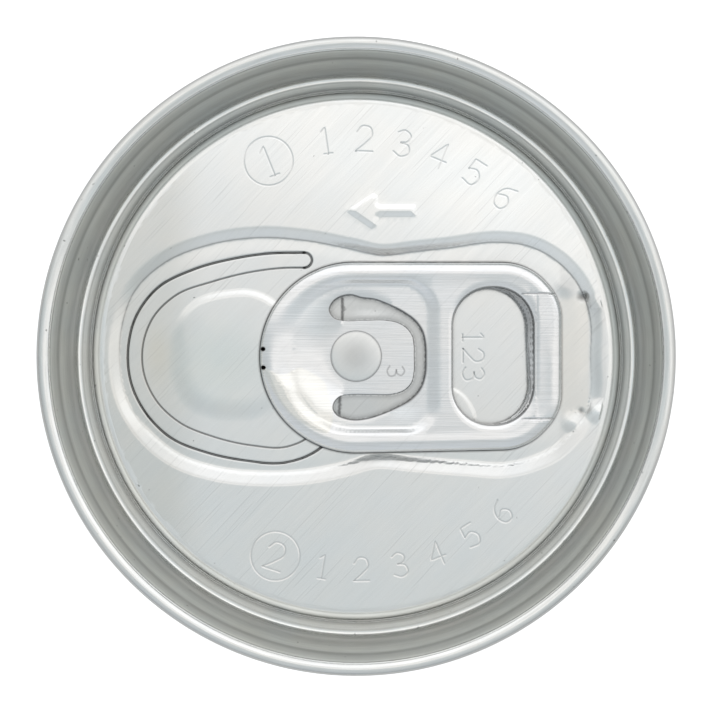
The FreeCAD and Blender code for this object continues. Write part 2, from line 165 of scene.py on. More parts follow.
def inside(points, loop):
    """Whether each point lies inside a closed outline."""
    x, y = points[:, 0], points[:, 1]
    result = np.zeros(len(points), bool)
    for start, end in zip(loop, np.roll(loop, -1, axis=0)):
        crosses = (start[1] > y) != (end[1] > y)
        if crosses.any():
            cut = (end[0] - start[0]) * (y[crosses] - start[1]) / (end[1] - start[1]) + start[0]
            result[crosses] ^= x[crosses] < cut
    return result


def outside_by(points, loop, reach=1e9):
    """Signed distance to a closed outline, below zero inside; far points just get reach."""
    low, high = loop.min(0) - reach, loop.max(0) + reach
    near = ((points > low) & (points < high)).all(1)
    result = np.full(len(points), min(reach, 1e3))
    if near.any():
        gap = distance(points[near], loop, True)
        result[near] = np.where(inside(points[near], loop), -gap, gap)
    return result


def away_from(points, path, reach):
    """Distance to an open path, for points nearer than reach."""
    low, high = path.min(0) - reach, path.max(0) + reach
    near = ((points > low) & (points < high)).all(1)
    result = np.full(len(points), reach)
    if near.any():
        result[near] = np.minimum(distance(points[near], path, False), reach)
    return result


def shifted(loop, offset):
    """A closed outline moved outwards by offset, without the places where it folds over."""
    tangent = np.roll(loop, -1, axis=0) - np.roll(loop, 1, axis=0)
    tangent /= np.maximum(np.linalg.norm(tangent, axis=1), 1e-9)[:, None]
    area = (loop[:, 0] * np.roll(loop[:, 1], -1) - np.roll(loop[:, 0], -1) * loop[:, 1]).sum()
    outward = np.stack([tangent[:, 1], -tangent[:, 0]], axis=1) * (1 if area > 0 else -1)
    moved = loop + outward * offset
    if abs(offset) < 1e-6:
        return moved
    true_gap = distance(moved, loop, True)
    return moved[true_gap > abs(offset) * 0.98]


def around(path, width, pieces=6):
    """The outline of a stroke of that half width along an open path."""
    tangent = np.gradient(path, axis=0)
    tangent /= np.maximum(np.linalg.norm(tangent, axis=1), 1e-9)[:, None]
    side = np.stack([-tangent[:, 1], tangent[:, 0]], axis=1) * width
    outline = list(path + side)
    for end, direction, sign in ((path[-1], tangent[-1], 1), (path[0], tangent[0], -1)):
        start = math.atan2(direction[1], direction[0]) + sign * math.pi / 2
        for piece in range(1, pieces):
            angle = start - math.pi * piece / pieces
            outline.append(end + width * np.array([math.cos(angle), math.sin(angle)]))
        if sign > 0:
            outline += list((path - side)[::-1])
    return np.array(outline)


# ---------------------------------------------------------------- height profiles

def smooth(t):
    t = np.clip(t, 0, 1)
    return t * t * (3 - 2 * t)


def slope(t, foot, top):
    """A ramp from 0 to 1 over t = 0 to 1, rounded over the shares foot and top at its ends."""
    t = np.clip(t, 0, 1)
    steep = 1 / (1 - foot / 2 - top / 2)
    low = steep * t * t / (2 * foot)
    middle = steep * (t - foot / 2)
    high = 1 - steep * (1 - t) ** 2 / (2 * top)
    return np.where(t < foot, low, np.where(t > 1 - top, high, middle))


# ---------------------------------------------------------------- meshes

class Contours:
    """Points and edges that a surface mesh must follow."""

    def __init__(self):
        self.points = []
        self.edges = []

    def add(self, path, closed=True):
        if len(path) < 2:
            return
        first = len(self.points)
        self.points += [Vector((float(x), float(y))) for x, y in path]
        last = len(path) if closed else len(path) - 1
        self.edges += [(first + number, first + (number + 1) % len(path)) for number in range(last)]

    def scatter(self, low, high, spacing):
        """Loose points between the contours, in staggered rows."""
        rows = int((high[1] - low[1]) / spacing) + 1
        columns = int((high[0] - low[0]) / spacing) + 1
        for row in range(rows):
            for column in range(columns):
                x = low[0] + (column + 0.5 * (row % 2)) * spacing
                self.points.append(Vector((x, low[1] + row * spacing * 0.87)))


def sheet_faces(contours, outer, holes=()):
    """Triangles inside outer and outside the holes: flat points and their faces."""
    made = delaunay_2d_cdt(contours.points, contours.edges, [], 0, 1e-5)
    flat = np.array([(v.x, v.y) for v in made[0]])
    faces = np.array(made[2])
    middles = flat[faces].mean(1)
    keep = inside(middles, outer)
    for hole in holes:
        keep &= ~inside(middles, hole)
    return flat, faces[keep]


def build(name, parts, merge=2e-6):
    """One object in metres from parts that are joined where they meet.

    A part is (points in millimetres, faces, tones, finish): a tone is the colour by which a point's metal is
    darkened or tinted, with painted shade and painted light as well as stains, and finish is the number of
    the faces' material.
    """
    mesh = bmesh.new()
    layer = mesh.verts.layers.float_color.new("tone")
    for points, faces, tones, finish in parts:
        made = []
        for (x, y, z), tone in zip(points, tones):
            vertex = mesh.verts.new((x * MM, y * MM, (z + SEAM_TOP) * MM))
            vertex[layer] = (*tone, 1.0)
            made.append(vertex)
        for face in faces:
            corners = [made[int(number)] for number in face]
            if len(set(corners)) == len(corners):
                mesh.faces.new(corners).material_index = finish
    bmesh.ops.remove_doubles(mesh, verts=mesh.verts, dist=merge)
    loose = [vertex for vertex in mesh.verts if not vertex.link_faces]
    bmesh.ops.delete(mesh, geom=loose, context="VERTS")
    bmesh.ops.recalc_face_normals(mesh, faces=mesh.faces)
    data = bpy.data.meshes.new(name)
    mesh.to_mesh(data)
    mesh.free()
    data.shade_smooth()
    piece = bpy.data.objects.new(name, data)
    bpy.context.scene.collection.objects.link(piece)
    return piece


def darkened(amount, tint=(1.0, 1.0, 1.0)):
    """Tones from how much of its brightness each point keeps."""
    return np.asarray(amount)[:, None] * np.array(tint)


def lathe(profile, finish=0, segments=SEGMENTS):
    """A ring part from (radius, height[, tone]) points; a radius of 0 makes one point on the axis."""
    points = []
    tones = []
    rings = []
    for radius, height, *tone in profile:
        tone = tone[0] if tone else 1.0
        if radius < 1e-9:
            rings.append([len(points)] * segments)
            points.append((0.0, 0.0, height))
            tones.append(tone)
            continue
        rings.append(range(len(points), len(points) + segments))
        for number in range(segments):
            angle = 2 * math.pi * number / segments
            points.append((radius * math.cos(angle), radius * math.sin(angle), height))
            tones.append(tone)
    faces = []
    for inner, outer in zip(rings, rings[1:]):
        for number in range(segments):
            following = (number + 1) % segments
            quad = [inner[number], outer[number], outer[following], inner[following]]
            faces.append([corner for place, corner in enumerate(quad) if corner not in quad[:place]])
    return points, [face for face in faces if len(face) > 2], darkened(tones), finish


def profile_arc(centre, radius, start, end, pieces):
    """Points on an arc of a lathe profile, between two angles in degrees."""
    angles = [math.radians(start + (end - start) * piece / pieces) for piece in range(pieces + 1)]
    return [(centre[0] + radius * math.cos(a), centre[1] + radius * math.sin(a)) for a in angles]


# ---------------------------------------------------------------- the lid's pressed pattern

RECESS_FOOT = through([
    (20.42, 0.0), (20.4, 3.2), (19.9, 5.1), (18.93, 6.83), (17.2, 8.5), (15.0, 9.6), (12.4, 9.93),
    (8.0, 9.43), (4.9, 9.08), (2.3, 8.8), (-0.6, 9.38), (-4.1, 10.04), (-8.5, 10.33), (-12.8, 9.71),
    (-16.7, 8.13), (-19.3, 5.66), (-20.4, 2.63), (-20.6, -0.5), (-20.0, -3.7), (-18.2, -6.6),
    (-15.7, -8.66), (-12.0, -9.92), (-8.1, -10.3), (-4.1, -10.11), (-1.4, -9.6), (1.7, -8.8),
    (5.0, -9.05), (9.4, -9.4), (13.2, -9.55), (15.4, -9.0), (17.2, -8.15), (18.6, -6.9), (19.8, -5.2),
    (20.35, -3.6)])
RAMP_WIDTH = 0.95  # of the recess's steep ramp; south of the tab it is the gentle one instead
GENTLE_START = 0.4
GENTLE_WIDTH = 1.4

SCORE_OUTER = through([
    (-2.2, -7.0), (-3.2, -8.05), (-4.4, -8.75), (-6.3, -9.28), (-9.6, -9.1), (-13.1, -8.37),
    (-16.0, -7.2), (-18.3, -5.0), (-19.6, -2.4), (-19.9, 0.3), (-19.3, 3.2), (-17.3, 5.95),
    (-14.2, 7.55), (-10.8, 8.48), (-7.6, 8.95), (-4.55, 9.02)], closed=False)
SCORE_INNER = through([
    (-3.3, -6.1), (-4.5, -7.27), (-6.1, -7.9), (-9.0, -7.79), (-12.5, -7.0), (-15.4, -5.77),
    (-17.4, -3.9), (-18.52, -1.42), (-18.5, 1.4), (-17.7, 3.35), (-15.7, 5.31), (-12.5, 6.5),
    (-9.0, 7.36), (-6.14, 7.69), (-4.5, 7.7)], closed=False)
SCORE_CAP = circle((-4.52, 8.36), 0.66, 14, math.pi / 2, -math.pi)

SCORES = (  # path, half width and depth
    (SCORE_OUTER, 0.15, 0.16), (SCORE_CAP, 0.12, 0.12), (SCORE_INNER, 0.1, 0.1))

BEAD_FOOT = through([
    (-16.45, 0.3), (-15.9, 2.9), (-14.1, 4.94), (-11.1, 5.81), (-9.4, 5.88), (-8.0, 5.5), (-6.4, 4.3),
    (-5.5, 2.3), (-5.2, 0.0), (-5.5, -2.3), (-6.6, -4.4), (-8.5, -5.5), (-10.6, -5.72), (-12.8, -5.5),
    (-14.9, -4.5), (-16.1, -2.4)])

ARROW = rounded([
    (-0.9, 12.64, 0.1), (1.45, 14.2, 0.2), (1.9, 13.9, 0.3), (1.94, 13.18, 0.1), (5.2, 13.18, 0.15),
    (5.2, 12.15, 0.15), (1.94, 12.15, 0.1), (1.8, 11.3, 0.3), (1.35, 11.1, 0.15)][::-1], 0.08)


def placed(strokes, centre, turn, size):
    """Strokes of a small sign, scaled, turned by degrees and moved to their place."""
    angle = math.radians(turn)
    matrix = size * np.array([[math.cos(angle), math.sin(angle)], [-math.sin(angle), math.cos(angle)]])
    return [np.array(stroke, float) @ matrix + np.array(centre) for stroke in strokes]


def numeral(digit):
    """Plain strokes of a digit about one unit high."""
    def curve(*points):
        return through(points, 0.05, closed=False)
    strokes = {
        1: [[(-0.16, 0.34), (0.02, 0.5), (0.02, -0.5)], [(-0.14, -0.5), (0.18, -0.5)]],
        2: [curve((-0.3, 0.24), (-0.1, 0.47), (0.2, 0.42), (0.28, 0.12), (0.05, -0.16), (-0.32, -0.48)),
            [(-0.32, -0.48), (0.32, -0.48)]],
        3: [curve((-0.26, 0.38), (-0.02, 0.5), (0.24, 0.32), (0.14, 0.08), (-0.08, 0.03)),
            curve((-0.08, 0.03), (0.22, -0.06), (0.28, -0.34), (0.0, -0.5), (-0.3, -0.36))],
        4: [[(0.14, -0.5), (0.14, 0.5), (-0.32, -0.18), (0.32, -0.18)]],
        5: [[(0.26, 0.48), (-0.22, 0.48), (-0.26, 0.06)],
            curve((-0.26, 0.06), (0.06, 0.14), (0.28, -0.14), (0.14, -0.44), (-0.28, -0.4))],
        6: [curve((0.22, 0.48), (-0.16, 0.26), (-0.28, -0.16), (-0.12, -0.46), (0.16, -0.46), (0.28, -0.18),
                  (0.08, 0.06), (-0.24, -0.08))],
    }
    return strokes[digit]


def numeral_row(radius, start, end, size):
    """The digits 1 to 6 along an arc, where an ordinary lid carries its opening hints."""
    row = []
    for digit in range(1, 7):
        bearing = start + (end - start) * (digit - 1) / 5
        angle = math.radians(bearing)
        centre = (radius * math.cos(angle), radius * math.sin(angle))
        row += placed(numeral(digit), centre, bearing - 90 * np.sign(bearing), size)
    return row


STEP_ONE = (-7.62, 16.93)
STEP_TWO = (-7.02, -17.35)
STEP_RING = 2.12
LINES = [resample(line, 0.18, False) for line in (
    placed(numeral(1), STEP_ONE, 22, 2.7) + placed(numeral(2), STEP_TWO, -18, 2.5)
    + numeral_row(18.9, 98, 47, 2.3) + numeral_row(18.5, -99, -47, 2.1)
    + placed(numeral(1), (10.2, 1.65), -90, 1.9) + placed(numeral(2), (10.2, 0.05), -90, 1.9)
    + placed(numeral(3), (10.2, -1.55), -90, 1.9))]
RINGS = [circle(STEP_ONE, STEP_RING), circle(STEP_TWO, STEP_RING)]
LINE_HALF = 0.1  # half width of an engraved line
LINE_DEEP = 0.04

NIBS = [  # centre, radius and height of the small round stops at the heel's corners
    ((18.35, 6.1), 1.3, 0.1), ((20.9, 4.5), 1.0, 0.1), ((19.72, 5.16), 0.7, -0.14),
    ((20.95, -4.75), 1.25, 0.2), ((18.9, -5.75), 1.15, 0.17), ((19.6, -4.8), 0.4, -0.08)]
LEAF = through([
    (8.1, -2.6), (9.2, -3.1), (10.1, -4.2), (10.5, -5.4), (9.6, -6.4), (8.0, -6.2), (7.2, -4.4)])


def lid_height(points):
    """Height of the lid's pressed panel at each point."""
    height = np.full(len(points), PANEL)
    foot = outside_by(points, RECESS_FOOT)
    depth = PANEL - RECESS
    steep = slope(foot / RAMP_WIDTH, 0.1, 0.35)
    gentle = slope((foot + GENTLE_START) / GENTLE_WIDTH, 0.15, 0.15)
    south = smooth((-5.0 - points[:, 1]) / 2.5)
    height -= depth * (1 - steep - (gentle - steep) * south)
    height -= 0.03 * smooth(1 + foot / 1.3) * (foot < 0)
    bead = outside_by(points, BEAD_FOOT, 2.0)
    north = smooth(0.5 + (points[:, 1] + 0.35 * (points[:, 0] + 10.0)) / 5.0)
    wide = 2.1 - 1.4 * north
    height += (0.15 + 0.03 * north) * slope(-bead / wide, 0.3, 0.4)
    for path, half, deep in SCORES:
        height -= deep * (1 - slope(away_from(points, path, 0.4) / half, 0.2, 0.3))
    height += 0.2 * slope(-outside_by(points, ARROW, 1.0) / 0.48 + 0.1, 0.15, 0.25)
    for line in LINES:
        height -= LINE_DEEP * (1 - slope(away_from(points, line, 0.4) / LINE_HALF, 0.3, 0.3))
    for ring in RINGS:
        height -= LINE_DEEP * (1 - slope(np.abs(outside_by(points, ring, 1.0)) / LINE_HALF, 0.3, 0.3))
    for centre, radius, rise in NIBS:
        share = np.linalg.norm(points - np.array(centre), axis=1) / radius
        height += rise * (1 - smooth(share))
    height += 0.09 * slope(-outside_by(points, LEAF, 1.0) / 0.35, 0.3, 0.3)
    edge = smooth((PANEL_RIM - np.linalg.norm(points, axis=1)) / 0.2)
    return PANEL + (height - PANEL) * edge


def line_tone(gap, half, dark):
    """Brightness kept near a line: dark within half of it, and all of it from twice half on."""
    return 1 - (1 - dark) * (1 - smooth((gap - half * 0.5) / half))


def spot(points, centre, wide, tall):
    """A soft round or oval patch: 1 at its centre and 0 at its edge."""
    return 1 - smooth(np.linalg.norm((points - np.array(centre)) / (wide, tall), axis=1))


def lid_stains_and_painted_light(points):
    """Painted shade in the scores, creases and engraved lines, a painted shadow under and round the tab,
    painted shade and light on the panel seen through the tab's openings, painted shade and glints on the
    stops, painted light towards +Y and shade on the ramps, a darker band beyond the tab's heel, and the
    metal's faint stains and tints.
    """
    # painted shade in the score grooves
    kept = line_tone(away_from(points, SCORE_OUTER, 0.6), 0.115, 0.26)
    kept *= line_tone(away_from(points, SCORE_CAP, 0.6), 0.12, 0.3)
    kept *= line_tone(away_from(points, SCORE_INNER, 0.6), 0.09, 0.42)
    foot = outside_by(points, RECESS_FOOT)
    # painted shade along the recess ramp's foot, strongest to the north
    north = smooth(0.5 + points[:, 1] / 8.0)
    kept *= 1 - (1 - line_tone(np.abs(foot), 0.08, 0.55)) * (0.1 + 0.9 * north)
    # painted shadow under the tab and a painted contact shadow round it
    under = outside_by(points, TAB_OUTLINE, 1.2)
    painted_shade_below_tab = 0.8 + 0.2 * smooth((under + 1.8) / 0.8)
    kept *= np.where(under < 0, painted_shade_below_tab, 0.1 + 0.9 * smooth((under - 0.1) / 0.16))
    # painted shade on the panel seen through the void and the finger hole
    for opening, dark, reach in ((VOID, 0.72, 0.5), (FINGER_HOLE, 0.85, 0.4)):
        gap = outside_by(points, opening, 1.0)
        kept *= np.where(gap < 0, dark + (1 - dark) * smooth(-gap / reach), 1.0)
    # painted light on the panel inside the finger hole, and a painted highlight seen through the void
    kept *= np.where(outside_by(points, FINGER_HOLE, 1.0) < 0, 1.22, 1.0)
    kept *= 1 + 0.25 * spot(points, (1.2, 3.75), 2.4, 0.45)
    for start, end in HINGE_SHADOWS:
        kept *= line_tone(away_from(points, np.array((start, end)), 0.5), 0.12, 0.3)
    # painted shade in the engraved rings and lines
    for ring in RINGS:
        kept *= line_tone(np.abs(outside_by(points, ring, 1.0)), 0.07, 0.86)
    for line in LINES:
        kept *= line_tone(away_from(points, line, 0.4), 0.07, 0.84)
    # painted shade in the stops' pits; the two northern stops are painted a little darker, and the two
    # southern ones carry painted glints
    kept *= 1 - 0.65 * spot(points, (19.72, 5.16), 0.75, 0.65)
    darker_north_stops = np.maximum(spot(points, (18.4, 6.1), 1.6, 1.3), spot(points, (20.9, 4.5), 1.3, 1.5))
    kept *= 1 - 0.12 * darker_north_stops
    kept *= 1 - 0.45 * spot(points, (19.6, -4.8), 0.35, 0.55)
    painted_glints = np.maximum(spot(points, (20.9, -4.6), 1.3, 1.2), spot(points, (18.95, -5.6), 1.2, 1.0))
    kept *= 1 + 0.16 * painted_glints
    # painted light, brighter towards +Y and a little +X outside the recess
    painted_northern_light = smooth((0.36 * points[:, 0] + 0.93 * points[:, 1] - 5.0) / 12.0)
    kept *= 1 + 0.1 * painted_northern_light * (foot > 0)
    # painted shade on the east and south ramps, and a painted patch of light to the north-east
    east_ramp = (points[:, 0] > 20) * (np.abs(points[:, 1]) < 4.2)
    kept *= 1 - 0.1 * smooth((foot - 0.1) / 0.5) * smooth((1.6 - foot) / 0.5) * east_ramp
    ramp = smooth(foot / 0.15) * smooth((1.05 - foot) / 0.25)
    kept *= 1 - 0.1 * ramp * smooth((-5 - points[:, 1]) / 2.0)
    kept *= 1 + 0.05 * spot(points, (11.0, 15.0), 9.0, 7.0)
    kept *= 1 - 0.07 * smooth((points[:, 0] - 17.6) / 0.3) * (foot < 0)
    west = smooth((-12.5 - points[:, 0]) / 4.5)
    tone = darkened(kept) * (1 - west[:, None] * np.array((0.125, 0.13, 0.15)))
    peach = spot(points, (-17.3, 0.2), 2.0, 4.2) * (foot < 0)
    beige = smooth((points[:, 0] - 17.6) / 0.3) * smooth((20.4 - points[:, 0]) / 0.3)
    beige = beige * smooth(5.6 - np.abs(points[:, 1]))
    tone *= 1 - (peach + 0.55 * beige)[:, None] * np.array((0.0, 0.035, 0.09))
    cool = spot(points, (-12.0, -0.5), 6.5, 6.0) * (foot < 0)
    tone *= 1 - cool[:, None] * np.array((0.075, 0.04, 0.05))
    return tone


def lid_panel():
    """The pressed panel inside the shoulder."""
    contours = Contours()
    rim = circle((0, 0), PANEL_RIM, SEGMENTS)
    contours.add(rim)
    contours.add(circle((0, 0), PANEL_RIM - 0.2, SEGMENTS))
    for offset in (-1.3, -0.9, -0.55, -0.4, -0.3, -0.2, -0.1, 0.0, 0.1, 0.2, 0.45, 0.65, 0.8, 0.95,
                   1.05, 1.15):
        contours.add(shifted(RECESS_FOOT, offset))
    for offset in (0.06, 0.0, -0.1, -0.22, -0.5, -0.65, -0.8, -1.2, -1.6, -2.1, -3.0):
        contours.add(shifted(BEAD_FOOT, offset))
    for path, half, _ in SCORES:
        contours.add(path, closed=False)
        for share in (0.4, 0.8, 1.2, 1.7):
            contours.add(around(path, half * share))
    for offset in (0.1, 0.0, -0.05, -0.12, -0.3, -0.42, -0.5):
        contours.add(shifted(ARROW, offset))
    for line in LINES:
        contours.add(line, closed=False)
        for share in (0.5, 1.0, 1.5):
            contours.add(around(line, LINE_HALF * share, 4))
    for ring in RINGS:
        for offset in (-0.14, -0.1, -0.05, 0.0, 0.05, 0.1, 0.14):
            contours.add(shifted(ring, offset))
    for centre, radius, _ in NIBS:
        for share in (0.12, 0.25, 0.4, 0.55, 0.7, 0.85, 1.0):
            contours.add(circle(centre, radius * share, 24))
    for offset in (0.05, 0.0, -0.08, -0.18, -0.3, -0.38):
        contours.add(shifted(LEAF, offset))
    for offset in (0.0, 0.1, 0.2, 0.32):
        contours.add(shifted(TAB_OUTLINE, offset))
    for offset in (0.0, -0.15, -0.3, -0.5, -0.75):
        contours.add(shifted(VOID, offset))
    for offset in (0.0, -0.15, -0.3, -0.45):
        contours.add(shifted(FINGER_HOLE, offset))
    contours.scatter((-21.5, -21.5), (21.5, 21.5), 0.6)
    flat, faces = sheet_faces(contours, rim)
    near_rim = np.linalg.norm(flat, axis=1) > PANEL_RIM - 1e-3
    heights = lid_height(flat)
    heights[near_rim] = PANEL
    return np.column_stack([flat, heights]), faces, lid_stains_and_painted_light(flat), 0


def lid_ring():
    """The shoulder, countersink, chuck wall and seam, as (radius, height, tone) points; the tones paint the
    rings' dark lines, shade and highlights.
    """
    shoulder = profile_arc((PANEL_RIM, PANEL - SHOULDER_ROUND), SHOULDER_ROUND, 88, 4, 14)
    sink = [(PANEL_RIM, PANEL, 1.0)] + [(radius, height, 1.05) for radius, height in shoulder]
    # tones below 1 are painted shade in the countersink's dark ring lines, those above 1 painted highlights
    sink += [(23.23, -6.1, 0.95), (23.27, -6.35, 0.6), (23.33, -6.52, 0.6), (23.42, -6.64, 0.8),
             (23.58, -6.74, 0.95), (23.8, -6.8, 1.0), (24.05, -6.83, 1.0), (24.12, -6.838, 0.9),
             (24.2, -6.85, 1.0), (24.36, -6.86, 1.12), (24.48, -6.83, 1.15), (24.57, -6.76, 1.05),
             (24.64, -6.6, 0.7), (24.68, -6.4, 0.62)]
    # the wall's tones are painted shade and light, darker at its foot and below the seam
    wall = [(24.68, -6.4, 0.62), (24.73, -6.1, 0.5), (24.8, -5.6, 0.62), (24.95, -4.85, 0.74),
            (25.15, -3.9, 0.95), (25.32, -3.1, 1.0), (25.4, -2.75, 0.9), (25.46, -2.5, 0.6),
            (25.52, -2.3, 0.6), (25.58, -2.0, 0.75), (25.66, -1.6, 0.8), (25.74, -1.2, 0.85),
            (25.81, -0.8, 1.0), (25.85, -0.64, 0.75)]
    crown = SEAM_RADIUS - 0.58
    seam = [wall[-1]]
    # the seam's outer part is painted darker, as painted shade
    seam += [(radius, height, 1.0 - 0.5 * float(smooth((radius - 26.45) / 0.45)))
             for radius, height in profile_arc((crown, -0.575), 0.57, 170, 12, 22)]
    seam += [(SEAM_RADIUS, -0.6, 0.55), (SEAM_RADIUS, -1.1, 0.85), (SEAM_RADIUS - 0.03, -1.7, 0.95),
             (SEAM_RADIUS - 0.01, -2.05, 0.9)]
    hook = profile_arc((SEAM_RADIUS - 0.38, -2.12), 0.37, 0, -90, 8)
    seam += [(radius, height, 0.8) for radius, height in hook]
    return sink, wall, seam


def lid_underside():
    """The back of the lid's sheet, from inside the seam's foot to the axis."""
    under = [(25.95, -2.5), (25.74, -2.52), (25.4, -4.0), (24.98, -5.9)]
    under += profile_arc((23.87, -6.14), 0.97, 350, 180, 14)
    under += profile_arc((PANEL_RIM, PANEL - SHOULDER_ROUND), SHOULDER_ROUND - GAUGE, 0, 85, 8)
    under += [(PANEL_RIM, PANEL - GAUGE), (21.3, RECESS - GAUGE), (0.0, RECESS - GAUGE)]
    return under


def make_lid():
    sink, wall, seam = lid_ring()
    under = [seam[-1][:2]] + lid_underside()
    return build("lid", [lid_panel(), lathe(sink, finish=1), lathe(wall, finish=2), lathe(seam, finish=1),
                         lathe(under)])


# ---------------------------------------------------------------- the tab

TAB_OUTLINE = rounded([
    (-8.3, -8.5, 8.28), (14.85, -8.03, 5.0), (17.76, -4.8, 4.3), (17.76, 4.9, 4.3), (14.9, 8.07, 5.0),
    (-8.3, 8.1, 8.1)])
PAN_TOP = rounded([
    (-7.15, -6.95, 6.8), (7.3, -6.82, 2.7), (7.3, 6.8, 3.2), (-7.15, 6.85, 6.7)])
PAN_FLOOR = rounded([
    (-5.4, -6.1, 5.4), (6.05, -6.1, 1.9), (6.05, 6.1, 2.1), (-5.4, 6.1, 5.4)])
FINGER_HOLE = rounded([
    (8.35, -5.9, 3.3), (15.3, -5.9, 3.3), (15.3, 5.95, 3.3), (8.35, 5.95, 3.3)], 0.1)
HOLE_INNER = rounded([
    (8.4, -5.87, 3.25), (15.05, -5.87, 3.4), (14.6, 5.8, 3.4), (8.4, 5.92, 3.25)], 0.1)
GLARE = through([  # the bright flat on the nose
    (-8.0, -0.9), (-6.3, -1.5), (-4.9, -0.9), (-3.9, -1.3), (-2.6, -2.3), (-2.3, -3.4), (-1.9, -5.0),
    (-2.3, -6.6), (-5.0, -5.6), (-6.9, -3.6)])
HOLE_ROUND = rounded([
    (7.95, -6.6, 3.7), (15.9, -6.6, 3.6), (15.9, 6.65, 3.6), (7.95, 6.65, 3.7)], 0.1)
VOID = through([  # the slot round the rivet island
    (-1.2, 5.2), (-0.4, 5.3), (0.4, 5.08), (1.6, 4.92), (2.9, 4.42), (4.2, 3.72), (5.15, 2.98), (5.7, 2.15),
    (5.95, 1.1), (6.0, -0.2), (5.93, -1.6), (5.55, -2.75), (4.75, -3.68), (3.5, -4.42), (2.2, -5.0),
    (0.95, -5.38), (-0.1, -5.5), (-1.0, -5.35), (-1.65, -5.05), (-1.98, -4.5), (-1.8, -3.9),
    (-1.3, -3.48), (-0.6, -3.38), (1.4, -3.36), (3.2, -3.32), (4.15, -3.02), (4.8, -2.4),
    (5.06, -1.4), (5.08, 0.0), (5.06, 1.0), (4.9, 1.8), (4.4, 2.48), (3.65, 2.93), (2.8, 3.12),
    (0.8, 3.14), (-1.2, 3.14), (-1.9, 3.35), (-2.3, 4.0), (-1.95, 4.75)][::-1], 0.12)
ISLAND = rounded([
    (-1.25, -3.42, 0.0), (5.4, -3.6, 2.0), (5.4, 3.4, 2.0), (-1.25, 3.2, 0.0)], 0.15)
TAB_DIGIT = [resample(stroke, 0.1, False) for stroke in placed(numeral(3), (3.45, -1.3), -90, 1.5)]
HINGE_SHADOWS = (((-1.2, 3.15), (-1.2, 5.0)), ((-1.42, -3.6), (-1.48, -5.0)))
NOSE_SLITS = ((-8.05, 0.62), (-8.02, -0.98))

TAB_THICK = 1.25
TAB_SHEET = 0.3
EDGE_WIDE = 0.95  # reach and drop of the tab's rounded edge
EDGE_TALL = 0.6
HEEL_HALF = 5.4  # half width of the bar between the heel's folds
HEEL_START = 15.5
FOLD_START = 14.2
TAB_FLAT = TAB_TOP - 0.05
PAN_RING = TAB_TOP - 0.62
ISLAND_TOP = RECESS + 0.32


def between(points, upper, lower):
    """Share of the way from the upper outline (0) to the lower outline inside it (1)."""
    from_upper = -outside_by(points, upper)
    from_lower = outside_by(points, lower)
    share = from_upper / np.maximum(from_upper + from_lower, 1e-6)
    return np.where(from_upper <= 0, 0.0, np.where(from_lower <= 0, 1.0, share))


def edge_round(gap, wide, tall):
    """Drop of a rounded edge at a distance gap from it."""
    share = np.clip(1 - gap / wide, 0, 1)
    return tall * (1 - np.sqrt(np.maximum(1 - share * share, 0)))


def tab_top(points):
    """Height of the tab's upper side."""
    edge = np.maximum(-outside_by(points, TAB_OUTLINE), 0)
    height = np.full(len(points), TAB_FLAT - 0.02)
    height += 0.06 * smooth(1 - np.abs(edge - 0.9) / 0.6)
    height -= edge_round(edge, EDGE_WIDE, EDGE_TALL - 0.02)
    pan = between(points, PAN_TOP, PAN_FLOOR)
    height -= (TAB_FLAT - PAN_RING) * slope(pan, 0.35, 0.3)
    height += 0.3 * slope(-outside_by(points, GLARE) / 2.4, 0.1, 0.5)
    from_rivet = np.linalg.norm(points, axis=1)
    dish = smooth((5.9 - from_rivet) / 3.4) * (points[:, 0] < 3) * (pan >= 1)
    height -= (height - ISLAND_TOP) * dish
    height = np.where(inside(points, ISLAND), ISLAND_TOP, height)
    hole_share = between_out(points)
    height -= 0.42 * (1 - np.sqrt(np.maximum(1 - (1 - hole_share) ** 2, 0)))
    lip = np.maximum(-outside_by(points, FINGER_HOLE), 0)
    height -= 0.35 * smooth(lip / 0.4)
    for side in (-1, 1):
        fold = (points[:, 1] * side - HEEL_HALF) / 0.12
        beyond = points[:, 0] > FOLD_START
        height -= 0.09 * beyond * (1 - smooth(np.abs(fold))) * smooth((points[:, 0] - FOLD_START) / 0.6)
    bar = (np.abs(points[:, 1]) < HEEL_HALF) & (points[:, 0] > HEEL_START)
    crown = 0.06 + 0.1 * (points[:, 1] / HEEL_HALF)
    height += np.where(bar, crown * smooth((points[:, 0] - HEEL_START) / 0.3) - 0.04, 0.0)
    for centre in NOSE_SLITS:
        share = np.linalg.norm((points - np.array(centre)) / (0.24, 0.17), axis=1)
        height -= 0.9 * (1 - smooth(share * 0.9))
    return np.minimum(height, TAB_TOP)


